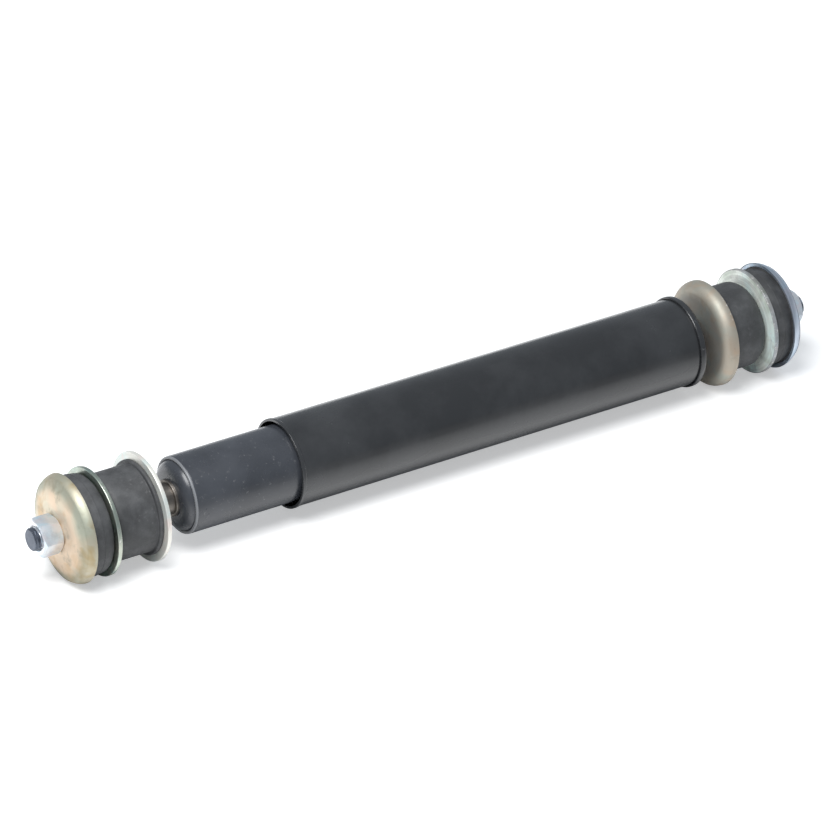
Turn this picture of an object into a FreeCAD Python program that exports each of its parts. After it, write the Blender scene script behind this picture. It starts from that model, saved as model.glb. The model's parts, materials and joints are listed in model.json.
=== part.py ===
import FreeCAD, Part
import math
import os

# Twin-tube hydraulic shock absorber with a pin mount at each end, in millimetres.
# The axis is X: the body is on the -X side, the rod and its dust tube on the +X side.
# The origin is the middle of the lower bracket seat, the neck of the lower inner bush.

# Clearances, all on the radius unless they are along the axis
running_fit = 0.05
seat_gap = 0.1
stud_clearance = 0.2
sleeve_clearance = 0.2
valve_clearance = 0.3
stop_gap = 0.3
bush_foot_gap = 2.0
dust_tube_gap = 2.8

# Mount stack, the same on both pins unless a name says which
stud_diameter = 16.0
stud_chamfer = 1.0
stud_past_nut = 4.2
nut_across_flats = 24.0
nut_height = 14.8
cup_diameter = 76.0
cup_sheet = 3.0
cup_depth = 10.0
cup_shoulder = 8.0
cup_flank = 9.0
cup_rim = 3.8
cup_rim_bend = 4.5
lower_washer_diameter = 76.0
lower_washer_thickness = 3.0
middle_washer_diameter = 75.5
middle_washer_thickness = 3.0
neck_diameter = 61.0
neck_length = 31.4
neck_round = 8.0
lower_foot_length = 3.0
upper_foot_length = 6.0
outer_bush_diameter = 70.4
lower_bush_seen = 16.6
upper_bush_seen = 14.3
bush_swell = 1.2
sleeve_diameter = 22.0

# Lower pin and base cap
shank_diameter = 22.0
shank_length = 20.0
foot_diameter = 26.0
foot_thickness = 2.0
rivet_diameter = 14.0
rivet_head_diameter = 20.0
rivet_head_height = 3.0
base_cap_sheet = 3.5
dome_height = 6.3
dome_knuckle = 8.0
base_skirt = 11.0

# Tubes
reserve_wall = 2.0
rolled_lip = 4.0
pressure_bore = 36.0
pressure_wall = 1.5
dust_tube_diameter = 62.0
dust_tube_wall = 1.2
dust_tube_length = 325.4
dust_bead_height = 0.5
dust_bead_length = 2.5
dust_cap_sheet = 1.5
dust_cap_skirt = 4.4
dust_cap_bend = 3.0
dust_collar_length = 6.0

# Base valve
valve_flange_thickness = 4.0
valve_spigot_height = 6.0
valve_bolt_diameter = 8.0
valve_nut_across_flats = 13.0
valve_nut_height = 6.5
bolt_past_nut = 1.2
bolt_collar_diameter = 11.0
bolt_collar_height = 6.5
bolt_head_diameter = 24.0
bolt_head_height = 2.5
compression_disc_diameter = 21.2
compression_port_circle = 16.4
compression_port_diameter = 3.0
compression_port_count = 6
intake_port_circle = 26.4
intake_port_diameter = 4.2
intake_port_count = 8
intake_plate_diameter = 33.0
intake_plate_thickness = 1.0
intake_spring_wire = 1.0
intake_spring_turns = 2.5
flow_slot_width = 7.0
flow_slot_count = 6

# Valve discs, stacked from the widest one
disc_thickness = 0.5
disc_step = 2.4
disc_count = 3

# Rod and piston
rod_diameter = 20.0
rod_neck_length = 12.6
rod_spigot_diameter = 14.0
rod_past_nut = 2.0
piston_height = 18.0
piston_side_gap = 0.3
piston_rim_height = 2.4
piston_rim_wall = 0.8
band_width = 9.0
band_thickness = 1.4
band_slit = 1.0
piston_nut_across_flats = 21.0
piston_nut_height = 10.0
support_diameter = 19.0
support_thickness = 2.5
rebound_disc_diameter = 24.4
rebound_port_circle = 20.4
rebound_port_diameter = 3.0
rebound_port_count = 6
check_port_circle = 29.2
check_port_diameter = 3.2
check_port_count = 10
check_plate_bore = 24.6
check_plate_thickness = 1.0
check_spring_wire = 0.8
check_spring_turns = 1.25
check_spring_room = 2.2
check_stop_diameter = 32.4
check_stop_thickness = 3.0
check_hub_diameter = 16.8
rebound_stop_offset = 5.0
rebound_stop_diameter = 31.0
rebound_stop_height = 5.0
bumper_diameter = 33.0
bumper_height = 10.0

# Rod guide and seal
guide_spigot_height = 12.0
guide_flange_height = 14.0
guide_bush_length = 14.0
guide_bush_wall = 1.5
guide_bush_ledge = 2.0
seal_height = 10.0
seal_diameter = 32.0
seal_lip_wall = 2.1
seal_channel_depth = 6.0
seal_spring_wire = 1.5
ring_section = 2.4
ring_land = 4.0
end_plate_thickness = 3.0

# Travel from the length shown
compression_travel = 20.0
extension_travel = 230.0
piston_base_gap = 4.0
bump_gap = 10.6

# Small edge breaks
edge_break = 0.8
rubber_round = 3.0
foot_round = 1.5

# Diameters that follow from the piece outside
bush_foot_diameter = cup_diameter - 2 * (cup_sheet + bush_foot_gap)
reserve_diameter = dust_tube_diameter - 2 * (dust_tube_wall + dust_tube_gap)

# Radii used by more than one piece
stud_radius = stud_diameter / 2
sleeve_radius = sleeve_diameter / 2
cup_radius = cup_diameter / 2
rod_radius = rod_diameter / 2
spigot_hole = rod_spigot_diameter / 2 + running_fit
reserve_radius = reserve_diameter / 2
reserve_bore = reserve_radius - reserve_wall
bore_radius = pressure_bore / 2
pressure_radius = bore_radius + pressure_wall
dust_radius = dust_tube_diameter / 2
rivet_radius = rivet_diameter / 2
valve_bolt_hole = valve_bolt_diameter / 2 + running_fit
recess_radius = bore_radius - piston_side_gap - piston_rim_wall
disc_stack = disc_thickness * disc_count


def stack_places(inner_sheet, foot_length, bush_seen):
    """Places along one mount stack, measured outwards from the shoulder of its pin."""
    places = {"foot": inner_sheet}
    places["neck"] = places["foot"] + foot_length
    places["washer"] = places["neck"] + neck_length
    places["barrel"] = places["washer"] + middle_washer_thickness
    places["lip"] = places["barrel"] + bush_seen
    places["nut"] = places["lip"] + cup_depth
    places["nut_end"] = places["nut"] + nut_height
    places["tip"] = places["nut_end"] + stud_past_nut
    return places


lower_stack = stack_places(lower_washer_thickness, lower_foot_length, lower_bush_seen)
upper_stack = stack_places(cup_sheet, upper_foot_length, upper_bush_seen)

# Places along X, from the lower bracket seat to the upper stud tip
lower_seat = lower_stack["neck"] + neck_length / 2
cap_face = lower_seat + shank_length
cap_inside = cap_face + base_cap_sheet
tube_end = cap_face + dome_height
valve_seat = tube_end + base_skirt
tube_seat = valve_seat + valve_flange_thickness
valve_face = tube_seat + valve_spigot_height
bolt_head_face = valve_face + bolt_collar_height
valve_top = bolt_head_face + bolt_head_height
rod_tip = valve_top + piston_base_gap + compression_travel
piston_nut_face = rod_tip + rod_past_nut
support_face = piston_nut_face + piston_nut_height
rebound_disc_face = support_face + support_thickness
piston_face = rebound_disc_face + disc_stack
check_face = piston_face + piston_height
check_stop_face = check_face + check_plate_thickness + check_spring_room
rod_shoulder = check_stop_face + check_stop_thickness
rebound_stop_face = rod_shoulder + rebound_stop_offset
bumper_face = rebound_stop_face + rebound_stop_height
bumper_end = bumper_face + bumper_height
guide_face = bumper_end + stop_gap + extension_travel
guide_flange = guide_face + guide_spigot_height
guide_top = guide_flange + guide_flange_height
end_plate_top = guide_top + end_plate_thickness
tube_top = end_plate_top + reserve_wall
dust_cap_inside = tube_top + bump_gap + compression_travel
dust_cap_face = dust_cap_inside + dust_cap_sheet
dust_tube_end = dust_cap_inside - (dust_cap_bend - dust_cap_sheet)
upper_seat = dust_cap_face + rod_neck_length


def turned(corners):
    """Solid turned about X from a closed outline of (x, radius) or (x, radius, rounding) corners."""
    points = [FreeCAD.Vector(c[0], 0, c[1]) for c in corners]
    rounding = [c[2] if len(c) > 2 else 0.0 for c in corners]
    count = len(points)
    sides = [points[(i + 1) % count] - points[i] for i in range(count)]
    half_angle = []
    for i in range(count):
        half_angle.append((-sides[i - 1]).getAngle(sides[i]) / 2)
    reach = [r / math.tan(a) if r else 0.0 for r, a in zip(rounding, half_angle)]
    # a rounding is never longer than the side it runs along
    for i, side in enumerate(sides):
        following = (i + 1) % count
        wanted = reach[i] + reach[following]
        if wanted > side.Length:
            reach[i] *= side.Length / wanted
            reach[following] *= side.Length / wanted
    starts = []
    ends = []
    edges = []
    for i, point in enumerate(points):
        back = FreeCAD.Vector(sides[i - 1]).normalize() * -reach[i]
        ahead = FreeCAD.Vector(sides[i]).normalize() * reach[i]
        starts.append(point + back)
        ends.append(point + ahead)
        if reach[i]:
            radius = reach[i] * math.tan(half_angle[i])
            inwards = (back + ahead).normalize()
            middle = point + inwards * (radius / math.sin(half_angle[i]) - radius)
            edges.append(Part.Arc(starts[i], middle, ends[i]).toShape())
    for i in range(count):
        following = (i + 1) % count
        if (starts[following] - ends[i]).Length > 1e-6:
            edges.append(Part.LineSegment(ends[i], starts[following]).toShape())
    outline = Part.Wire(Part.__sortEdges__(edges))
    solid = Part.Face(outline).revolve(FreeCAD.Vector(), FreeCAD.Vector(1, 0, 0), 360)
    return solid if solid.Volume > 0 else solid.reversed()


def beside(path, distance):
    """A path of (x, radius, bend) corners moved sideways to its right, with the same centres of its bends."""
    points = [FreeCAD.Vector(p[0], p[1], 0) for p in path]
    steps = [(points[i + 1] - points[i]).normalize() for i in range(len(points) - 1)]
    moved = []
    for i, point in enumerate(points):
        before = steps[max(i - 1, 0)]
        after = steps[min(i, len(steps) - 1)]
        turn = before.cross(after).z
        across = FreeCAD.Vector(before.y + after.y, -before.x - after.x, 0).normalize()
        shift = distance / across.dot(FreeCAD.Vector(after.y, -after.x, 0))
        bend = path[i][2] if len(path[i]) > 2 else 0.0
        moved_bend = max(bend + math.copysign(1, turn) * distance, 0.0) if bend else 0.0
        moved.append((point.x + across.x * shift, point.y + across.y * shift, moved_bend))
    return moved


def pressed(path, sheet):
    """Corners of a pressed sheet: one face follows the path, the other lies to its right."""
    return list(path) + beside(path, sheet)[::-1]


def ring(start, end, inner, outer, rounding=0.0):
    """Plain ring between two places along X, with its outer edges rounded."""
    return turned([(start, inner), (start, outer, rounding), (end, outer, rounding), (end, inner)])


def drilled(solid, count, circle, diameter, start, end):
    """The solid with a circle of holes along X."""
    for i in range(count):
        angle = 2 * math.pi * i / count
        foot = FreeCAD.Vector(start, circle / 2 * math.cos(angle), circle / 2 * math.sin(angle))
        hole = Part.makeCylinder(diameter / 2, end - start, foot, FreeCAD.Vector(1, 0, 0))
        solid = solid.cut(hole)
    return solid


def hex_nut(start, height, across_flats, bore):
    """Hexagon nut along X with both corner chamfers turned on."""
    corner = across_flats / math.sqrt(3)
    points = []
    for i in range(7):
        angle = math.radians(60 * i)
        points.append(FreeCAD.Vector(start, corner * math.cos(angle), corner * math.sin(angle)))
    prism = Part.Face(Part.makePolygon(points)).extrude(FreeCAD.Vector(height, 0, 0))
    chamfer_radius = across_flats * 0.475
    chamfer_length = (corner - chamfer_radius) * math.tan(math.radians(30))
    blank = turned([
        (start, bore),
        (start, chamfer_radius),
        (start + chamfer_length, corner),
        (start + height - chamfer_length, corner),
        (start + height, chamfer_radius),
        (start + height, bore),
    ])
    return prism.common(blank)


def coil(start, height, radius, wire, turns):
    """Square-wire coil along X."""
    rise = height - wire
    helix = Part.Wire(Part.makeHelix(rise / turns, rise, radius))
    half = wire / 2
    corners = []
    for across, along in ((-half, -half), (half, -half), (half, half), (-half, half), (-half, -half)):
        corners.append(FreeCAD.Vector(radius + across, 0, along))
    spring = helix.makePipeShell([Part.makePolygon(corners)], True, True)
    spring.rotate(FreeCAD.Vector(), FreeCAD.Vector(0, 1, 0), 90)
    spring.translate(FreeCAD.Vector(start + wire / 2, 0, 0))
    return spring


def disc_pack(start, largest, hole, direction):
    """Valve discs, each smaller than the one before, as separate solids stacked from start."""
    discs = []
    for i in range(disc_count):
        near = start + direction * disc_thickness * i
        far = near + direction * disc_thickness
        discs.append(ring(min(near, far), max(near, far), hole, largest / 2 - disc_step / 2 * i))
    return Part.makeCompound(discs)


def upper_inner_cup():
    """Pressed cup washer with a full shoulder, its flat back on the shoulder of the rod."""
    path = [
        (upper_seat, stud_radius + stud_clearance),
        (upper_seat, cup_radius, cup_shoulder),
        (upper_seat + cup_depth, cup_radius),
    ]
    return turned(pressed(path, cup_sheet))


def outer_cup_path(stack):
    """Outside of an outer cup from bore to lip: flat back, sloping flank and short rim."""
    return [
        (stack["nut"], stud_radius + stud_clearance),
        (stack["nut"], cup_radius - cup_flank, cup_shoulder),
        (stack["lip"] + cup_rim, cup_radius, cup_rim_bend),
        (stack["lip"], cup_radius),
    ]


def outer_cup(stack, seat, outwards):
    """Pressed cup washer under the nut, its lip towards the rubber."""
    outline = pressed(outer_cup_path(stack), -cup_sheet)
    return turned([(seat + outwards * c[0], *c[1:]) for c in outline])


def inner_bush(stack, seat, outwards, seat_round):
    """Long bush: a foot on the inner washer and the neck that the bracket sits on."""
    bore = sleeve_radius + sleeve_clearance
    foot_radius = bush_foot_diameter / 2
    neck_radius = neck_diameter / 2
    outline = [
        (stack["foot"], bore),
        (stack["foot"], foot_radius, seat_round),
        (stack["neck"], foot_radius, foot_round),
        (stack["neck"], neck_radius, edge_break),
        (stack["washer"], neck_radius, neck_round),
        (stack["washer"], bore),
    ]
    return turned([(seat + outwards * c[0], *c[1:]) for c in outline])


def outer_bush(stack, seat, outwards):
    """Short bush: a swelling barrel between the middle washer and the outer cup, which it also fills."""
    bore = sleeve_radius + sleeve_clearance
    barrel_radius = outer_bush_diameter / 2
    end_radius = barrel_radius - bush_swell
    _, fill_back, fill_rim, _ = beside(outer_cup_path(stack), -cup_sheet - seat_gap)
    outline = [
        (stack["barrel"], bore),
        (stack["barrel"], end_radius, rubber_round),
        ((stack["barrel"] + stack["lip"]) / 2, barrel_radius + bush_swell / 2, barrel_radius),
        (stack["lip"] - seat_gap, end_radius),
        (stack["lip"] - seat_gap, fill_rim[1]),
        (fill_rim[0] + seat_gap, *fill_rim[1:]),
        (fill_back[0] + seat_gap, *fill_back[1:]),
        (fill_back[0] + seat_gap, bore),
    ]
    return turned([(seat + outwards * c[0], *c[1:]) for c in outline])


def mount_stack(end, stack, seat, outwards, seat_round):
    """The pieces outside the inner washer of one pin, named for the end that they are on."""
    def between(first, last):
        places = (seat + outwards * first, seat + outwards * last)
        return min(places), max(places)

    nut_start, _ = between(stack["nut"], stack["nut_end"])
    sleeve_bore = stud_radius + stud_clearance
    sleeve_place = between(stack["foot"], stack["nut"] - cup_sheet)
    washer_bore = sleeve_radius + sleeve_clearance
    washer_place = between(stack["washer"], stack["barrel"])
    return {
        end + "_inner_bush": inner_bush(stack, seat, outwards, seat_round),
        end + "_middle_washer": ring(*washer_place, washer_bore, middle_washer_diameter / 2, edge_break),
        end + "_outer_bush": outer_bush(stack, seat, outwards),
        end + "_outer_cup": outer_cup(stack, seat, outwards),
        end + "_sleeve": ring(*sleeve_place, sleeve_bore, sleeve_radius),
        end + "_nut": hex_nut(nut_start, nut_height, nut_across_flats, stud_radius + running_fit),
    }


def lower_inner_washer():
    """Flat washer on the shoulder of the lower pin."""
    return ring(lower_seat - lower_washer_thickness, lower_seat, stud_radius + stud_clearance,
                lower_washer_diameter / 2, edge_break)


def lower_stem():
    """Pin of the body end: threaded stud, shank, welded foot and the rivet head inside the cap."""
    tip = lower_seat - lower_stack["tip"]
    shank_radius = shank_diameter / 2
    foot_radius = foot_diameter / 2
    foot_face = cap_face - foot_thickness
    return turned([
        (tip, 0),
        (tip, stud_radius - stud_chamfer),
        (tip + stud_chamfer, stud_radius),
        (lower_seat, stud_radius),
        (lower_seat, shank_radius, edge_break),
        (foot_face, shank_radius, edge_break),
        (foot_face, foot_radius, edge_break),
        (cap_face, foot_radius),
        (cap_face, rivet_radius),
        (cap_inside, rivet_radius),
        (cap_inside, rivet_head_diameter / 2),
        (cap_inside + rivet_head_height, rivet_head_diameter / 2, edge_break),
        (cap_inside + rivet_head_height, 0),
    ])


def base_cap():
    """Domed cap whose skirt is pressed into the end of the reserve tube."""
    skirt_radius = reserve_bore - running_fit
    path = [
        (cap_face, rivet_radius + running_fit),
        (cap_face, skirt_radius, dome_knuckle),
        (valve_seat, skirt_radius),
    ]
    return turned(pressed(path, base_cap_sheet))


def reserve_tube():
    """Outer tube of the body, its top rolled over the end plate."""
    lip_radius = reserve_bore - rolled_lip
    return turned([
        (tube_end, reserve_bore),
        (tube_end, reserve_radius, edge_break),
        (tube_top, reserve_radius, reserve_wall + edge_break),
        (tube_top, lip_radius),
        (end_plate_top, lip_radius),
        (end_plate_top, reserve_bore, edge_break),
    ])


def base_valve_body():
    """Valve seat between the cap and the pressure tube, with its ports and the slots to the reserve."""
    flange_radius = reserve_bore - valve_clearance
    slot_floor = pressure_radius + valve_clearance
    body = turned([
        (valve_seat, valve_bolt_hole),
        (valve_seat, flange_radius, edge_break),
        (tube_seat, flange_radius),
        (tube_seat, bore_radius - running_fit),
        (valve_face, bore_radius - running_fit, edge_break),
        (valve_face, valve_bolt_hole),
    ])
    body = drilled(body, compression_port_count, compression_port_circle,
                   compression_port_diameter, valve_seat, valve_face)
    body = drilled(body, intake_port_count, intake_port_circle,
                   intake_port_diameter, valve_seat, valve_face)
    for i in range(flow_slot_count):
        slot = Part.makeBox(valve_flange_thickness, flow_slot_width, flange_radius,
                            FreeCAD.Vector(valve_seat, -flow_slot_width / 2, slot_floor))
        slot.rotate(FreeCAD.Vector(), FreeCAD.Vector(1, 0, 0), 360 * i / flow_slot_count)
        body = body.cut(slot)
    return body


def base_valve_bolt():
    """Bolt of the base valve: its head holds the intake spring, its collar guides the intake plate."""
    end = valve_seat - disc_stack - valve_nut_height - bolt_past_nut
    shank = valve_bolt_diameter / 2
    head = bolt_head_diameter / 2
    return turned([
        (end, 0),
        (end, shank, edge_break),
        (valve_face, shank),
        (valve_face, bolt_collar_diameter / 2),
        (bolt_head_face, bolt_collar_diameter / 2),
        (bolt_head_face, head, edge_break),
        (valve_top, head, edge_break),
        (valve_top, 0),
    ])


def intake_plate():
    """Plate over the intake ports, with holes that leave the compression ports open."""
    end = valve_face + intake_plate_thickness
    plate = ring(valve_face, end, bolt_collar_diameter / 2 + running_fit, intake_plate_diameter / 2)
    return drilled(plate, compression_port_count, compression_port_circle,
                   compression_port_diameter, valve_face, end)


def intake_spring():
    """Coil between the intake plate and the head of the bolt."""
    start = valve_face + intake_plate_thickness + seat_gap
    radius = bolt_head_diameter / 2 - intake_spring_wire
    return coil(start, bolt_head_face - seat_gap - start, radius, intake_spring_wire, intake_spring_turns)


def rod_guide():
    """Guide that closes the pressure tube, with a ledge under its bush and a pocket for the seal."""
    bush_radius = rod_radius + running_fit + guide_bush_wall
    flange_radius = reserve_bore - running_fit
    groove_start = guide_top - ring_land - ring_section - 2 * seat_gap
    groove_floor = flange_radius - ring_section
    pocket = guide_top - seal_height
    return turned([
        (guide_face, rod_radius + stop_gap),
        (guide_face, bore_radius - running_fit, edge_break),
        (guide_flange, bore_radius - running_fit),
        (guide_flange, flange_radius),
        (groove_start, flange_radius),
        (groove_start, groove_floor),
        (guide_top - ring_land, groove_floor),
        (guide_top - ring_land, flange_radius),
        (guide_top, flange_radius, edge_break),
        (guide_top, seal_diameter / 2 + running_fit),
        (pocket, seal_diameter / 2 + running_fit),
        (pocket, bush_radius + running_fit),
        (guide_face + guide_bush_ledge, bush_radius + running_fit),
        (guide_face + guide_bush_ledge, rod_radius + stop_gap),
    ])


def guide_bush():
    """Lined bush that the rod runs in."""
    start = guide_face + guide_bush_ledge
    inner = rod_radius + running_fit
    return ring(start, start + guide_bush_length, inner, inner + guide_bush_wall)


def guide_ring():
    """Round sealing ring in the groove of the rod guide."""
    section = ring_section / 2 - seat_gap / 2
    centre = guide_top - ring_land - ring_section / 2 - seat_gap
    return turned_round(centre, reserve_bore - running_fit - ring_section / 2, section)


def turned_round(place, radius, section):
    """Ring of round section about X."""
    return Part.makeTorus(radius, section, FreeCAD.Vector(place, 0, 0), FreeCAD.Vector(1, 0, 0))


def rod_seal():
    """Rubber seal with an oil lip, a dust lip and the channel of the garter spring."""
    start = guide_top - seal_height
    lip = rod_radius + running_fit
    lip_back = lip + seal_lip_wall
    channel = lip_back + seal_spring_wire + 2 * seat_gap
    dust_lip = guide_top - edge_break
    relief = (start + guide_top) / 2
    return turned([
        (start, lip + edge_break),
        (start + seal_lip_wall, lip),
        (relief, lip + edge_break),
        (dust_lip, lip),
        (guide_top, lip + edge_break),
        (guide_top, seal_diameter / 2),
        (start, seal_diameter / 2),
        (start, channel),
        (start + seal_channel_depth, channel),
        (start + seal_channel_depth, lip_back),
        (start, lip_back),
    ])


def seal_spring():
    """Garter spring round the oil lip."""
    place = guide_top - seal_height + seal_lip_wall
    radius = rod_radius + running_fit + seal_lip_wall + seat_gap + seal_spring_wire / 2
    return turned_round(place, radius, seal_spring_wire / 2)


def end_plate():
    """Plate over the guide and seal that the reserve tube is rolled onto."""
    return ring(guide_top, end_plate_top, rod_radius + stop_gap, reserve_bore - running_fit, 2 * edge_break)


def piston_rod():
    """Rod with the piston's spigot on one end and the upper pin on the other."""
    spigot = rod_spigot_diameter / 2
    tip = upper_seat + upper_stack["tip"]
    return turned([
        (rod_tip, 0),
        (rod_tip, spigot, edge_break),
        (rod_shoulder, spigot),
        (rod_shoulder, rod_radius, edge_break),
        (upper_seat, rod_radius),
        (upper_seat, stud_radius),
        (tip - stud_chamfer, stud_radius),
        (tip, stud_radius - stud_chamfer),
        (tip, 0),
    ])


def piston():
    """Piston with the groove of its band, a rim round the check plate, and two circles of ports."""
    radius = bore_radius - piston_side_gap
    groove_floor = bore_radius - running_fit - band_thickness - seat_gap
    groove_start = piston_face + (piston_height - band_width) / 2 - seat_gap
    groove_end = groove_start + band_width + 2 * seat_gap
    rim = check_face + piston_rim_height
    body = turned([
        (piston_face, spigot_hole),
        (piston_face, radius, edge_break),
        (groove_start, radius),
        (groove_start, groove_floor),
        (groove_end, groove_floor),
        (groove_end, radius),
        (rim, radius, edge_break / 2),
        (rim, recess_radius),
        (check_face, recess_radius),
        (check_face, spigot_hole),
    ])
    body = drilled(body, rebound_port_count, rebound_port_circle, rebound_port_diameter, piston_face, check_face)
    return drilled(body, check_port_count, check_port_circle, check_port_diameter, piston_face, check_face)


def piston_band():
    """Slit band that slides in the pressure tube."""
    start = piston_face + (piston_height - band_width) / 2
    outer = bore_radius - running_fit
    band = ring(start, start + band_width, outer - band_thickness, outer)
    slit = Part.makeBox(band_width, band_slit, bore_radius, FreeCAD.Vector(start, -band_slit / 2, 0))
    return band.cut(slit)


def check_spring():
    """Flat coil that holds the check plate down."""
    start = check_face + check_plate_thickness + seat_gap
    return coil(start, check_stop_face - seat_gap - start, check_port_circle / 2,
                check_spring_wire, check_spring_turns)


def check_stop():
    """Plate on the rod's shoulder that the check spring pushes against, with its spacing hub."""
    hub = check_hub_diameter / 2
    return turned([
        (check_face, spigot_hole),
        (check_face, hub),
        (check_stop_face, hub),
        (check_stop_face, check_stop_diameter / 2, edge_break),
        (rod_shoulder, check_stop_diameter / 2, edge_break),
        (rod_shoulder, spigot_hole),
    ])


def dust_tube():
    """Tube that covers the rod, with a small bead rolled round its open end."""
    start = dust_tube_end - dust_tube_length
    bead_radius = dust_radius + dust_bead_height
    bead_end = start + dust_bead_length
    return turned([
        (start, dust_radius - dust_tube_wall),
        (start, bead_radius, dust_bead_height),
        (bead_end, bead_radius, dust_bead_height),
        (bead_end + dust_bead_height, dust_radius),
        (dust_tube_end, dust_radius),
        (dust_tube_end, dust_radius - dust_tube_wall),
    ])


def dust_cap():
    """Cap over the end of the dust tube, with a drawn collar round the rod."""
    skirt_radius = dust_radius + seat_gap + dust_cap_sheet
    collar_radius = rod_radius + running_fit + dust_cap_sheet
    path = [
        (dust_cap_inside - dust_cap_skirt, skirt_radius),
        (dust_cap_face, skirt_radius, dust_cap_bend),
        (dust_cap_face, collar_radius, dust_cap_sheet / 2),
        (dust_cap_face + dust_collar_length, collar_radius),
    ]
    return turned(pressed(path, dust_cap_sheet))


nodes = {
    "lower_stem": lower_stem(),
    "base_cap": base_cap(),
    "reserve_tube": reserve_tube(),
    "pressure_tube": ring(tube_seat, guide_flange, bore_radius, pressure_radius),
    "base_valve_body": base_valve_body(),
    "base_valve_bolt": base_valve_bolt(),
    "base_valve_nut": hex_nut(valve_seat - disc_stack - valve_nut_height, valve_nut_height,
                              valve_nut_across_flats, valve_bolt_hole),
    "compression_discs": disc_pack(valve_seat, compression_disc_diameter, valve_bolt_hole, -1),
    "intake_plate": intake_plate(),
    "intake_spring": intake_spring(),
    "rod_guide": rod_guide(),
    "guide_bush": guide_bush(),
    "guide_ring": guide_ring(),
    "rod_seal": rod_seal(),
    "seal_spring": seal_spring(),
    "end_plate": end_plate(),
    "piston_rod": piston_rod(),
    "piston": piston(),
    "piston_band": piston_band(),
    "rebound_discs": disc_pack(piston_face, rebound_disc_diameter, spigot_hole, -1),
    "rebound_support": ring(support_face, rebound_disc_face, spigot_hole, support_diameter / 2, edge_break),
    "piston_nut": hex_nut(piston_nut_face, piston_nut_height, piston_nut_across_flats, spigot_hole),
    "check_plate": ring(check_face, check_face + check_plate_thickness, check_plate_bore / 2,
                        recess_radius - stud_clearance),
    "check_spring": check_spring(),
    "check_stop": check_stop(),
    "rebound_stop": ring(rebound_stop_face, bumper_face, rod_radius + running_fit,
                         rebound_stop_diameter / 2, edge_break),
    "rebound_bumper": ring(bumper_face, bumper_end, rod_radius + seat_gap, bumper_diameter / 2, rubber_round),
    "dust_tube": dust_tube(),
    "dust_cap": dust_cap(),
    "lower_inner_washer": lower_inner_washer(),
    "upper_inner_cup": upper_inner_cup(),
}
nodes.update(mount_stack("lower", lower_stack, lower_seat, -1, edge_break))
nodes.update(mount_stack("upper", upper_stack, upper_seat, 1, cup_shoulder - cup_sheet))

os.makedirs("parts", exist_ok=True)
for name, shape in nodes.items():
    shape.exportStep("parts/" + name + ".step")
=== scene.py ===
import json
import math

import bmesh
import bpy
from bpy.props import FloatProperty, FloatVectorProperty, IntProperty, PointerProperty
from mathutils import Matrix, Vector


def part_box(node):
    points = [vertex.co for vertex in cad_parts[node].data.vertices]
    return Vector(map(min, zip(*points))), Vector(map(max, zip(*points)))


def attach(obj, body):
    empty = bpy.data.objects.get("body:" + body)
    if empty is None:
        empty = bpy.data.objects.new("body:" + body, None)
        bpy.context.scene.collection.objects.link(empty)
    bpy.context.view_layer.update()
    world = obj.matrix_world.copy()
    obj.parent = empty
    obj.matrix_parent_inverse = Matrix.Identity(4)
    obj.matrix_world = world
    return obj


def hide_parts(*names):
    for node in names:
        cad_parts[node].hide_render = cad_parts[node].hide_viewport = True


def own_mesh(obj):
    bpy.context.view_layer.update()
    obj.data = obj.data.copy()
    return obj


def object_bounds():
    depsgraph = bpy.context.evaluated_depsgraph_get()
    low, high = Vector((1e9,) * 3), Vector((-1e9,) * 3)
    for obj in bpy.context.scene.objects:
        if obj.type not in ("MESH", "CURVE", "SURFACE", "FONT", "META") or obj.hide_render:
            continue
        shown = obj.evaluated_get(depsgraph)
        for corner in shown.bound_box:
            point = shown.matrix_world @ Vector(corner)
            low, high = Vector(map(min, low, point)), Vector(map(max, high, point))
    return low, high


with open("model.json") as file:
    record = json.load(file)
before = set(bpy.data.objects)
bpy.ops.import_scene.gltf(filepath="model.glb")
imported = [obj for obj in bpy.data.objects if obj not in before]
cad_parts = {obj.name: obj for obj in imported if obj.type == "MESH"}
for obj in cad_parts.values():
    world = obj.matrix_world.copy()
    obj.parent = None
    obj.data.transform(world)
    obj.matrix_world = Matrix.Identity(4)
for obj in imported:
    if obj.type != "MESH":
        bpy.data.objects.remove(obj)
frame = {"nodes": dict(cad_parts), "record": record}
cad_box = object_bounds()

bl_info = {
    "name": "Shock absorber looks",
    "version": (1, 0, 0),
    "blender": (4, 5, 0),
    "location": "View3D > Sidebar > Damper",
    "description": "Models the seen pieces of a pin-mounted shock absorber and gives every piece its finish",
    "category": "Object",
}

# pixels along each side of the picture
PHOTO_SIZE = 830
# width of the camera's sensor in millimetres
SENSOR = 36
# gap between pieces that are pressed together
FIT = 0.0001
# room between a hole and the pin that goes through it
CLEAR = 0.0002
# points nearer than this are at one place
SAME = 1e-6
# points of a turned piece nearer than this are merged
MERGE = 1e-7
# moves a limit just past a row of faces
NUDGE = 1e-5
# turns a primitive from Z to the object's axis
ALONG_X = (0, math.pi / 2, 0)
# tightest bend inside a pressed sheet
TIGHTEST = 0.0003
# mesh attribute that marks rounded edges, and the size under which a rounding wears
WORN = "worn_edge"
WORN_UNDER = 0.0015
# rings for each turn of a thread, and the share of its pitch that is flat at the crest and at the root
THREAD_RINGS = 8
THREAD_FLAT = 0.12
# rings of the short bushes as shares of their bare length; the parting ridge is between the middle two
BARREL = (0.25, 0.375, 0.48, 0.52, 0.625, 0.75)
# marks of spinning for each metre of radius, radian of turn and metre along the axis
SPUN = {"Radius": 2600.0, "Turn": 2.2, "Along": 1400.0}
# share of each part of a zinc tone in the greener clouds
GREENER = (0.90, 1.02, 1.07)


def length(name, description, default):
    """Property for a size in metres."""
    return FloatProperty(name=name, description=description, default=default, unit="LENGTH", precision=5)


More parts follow.
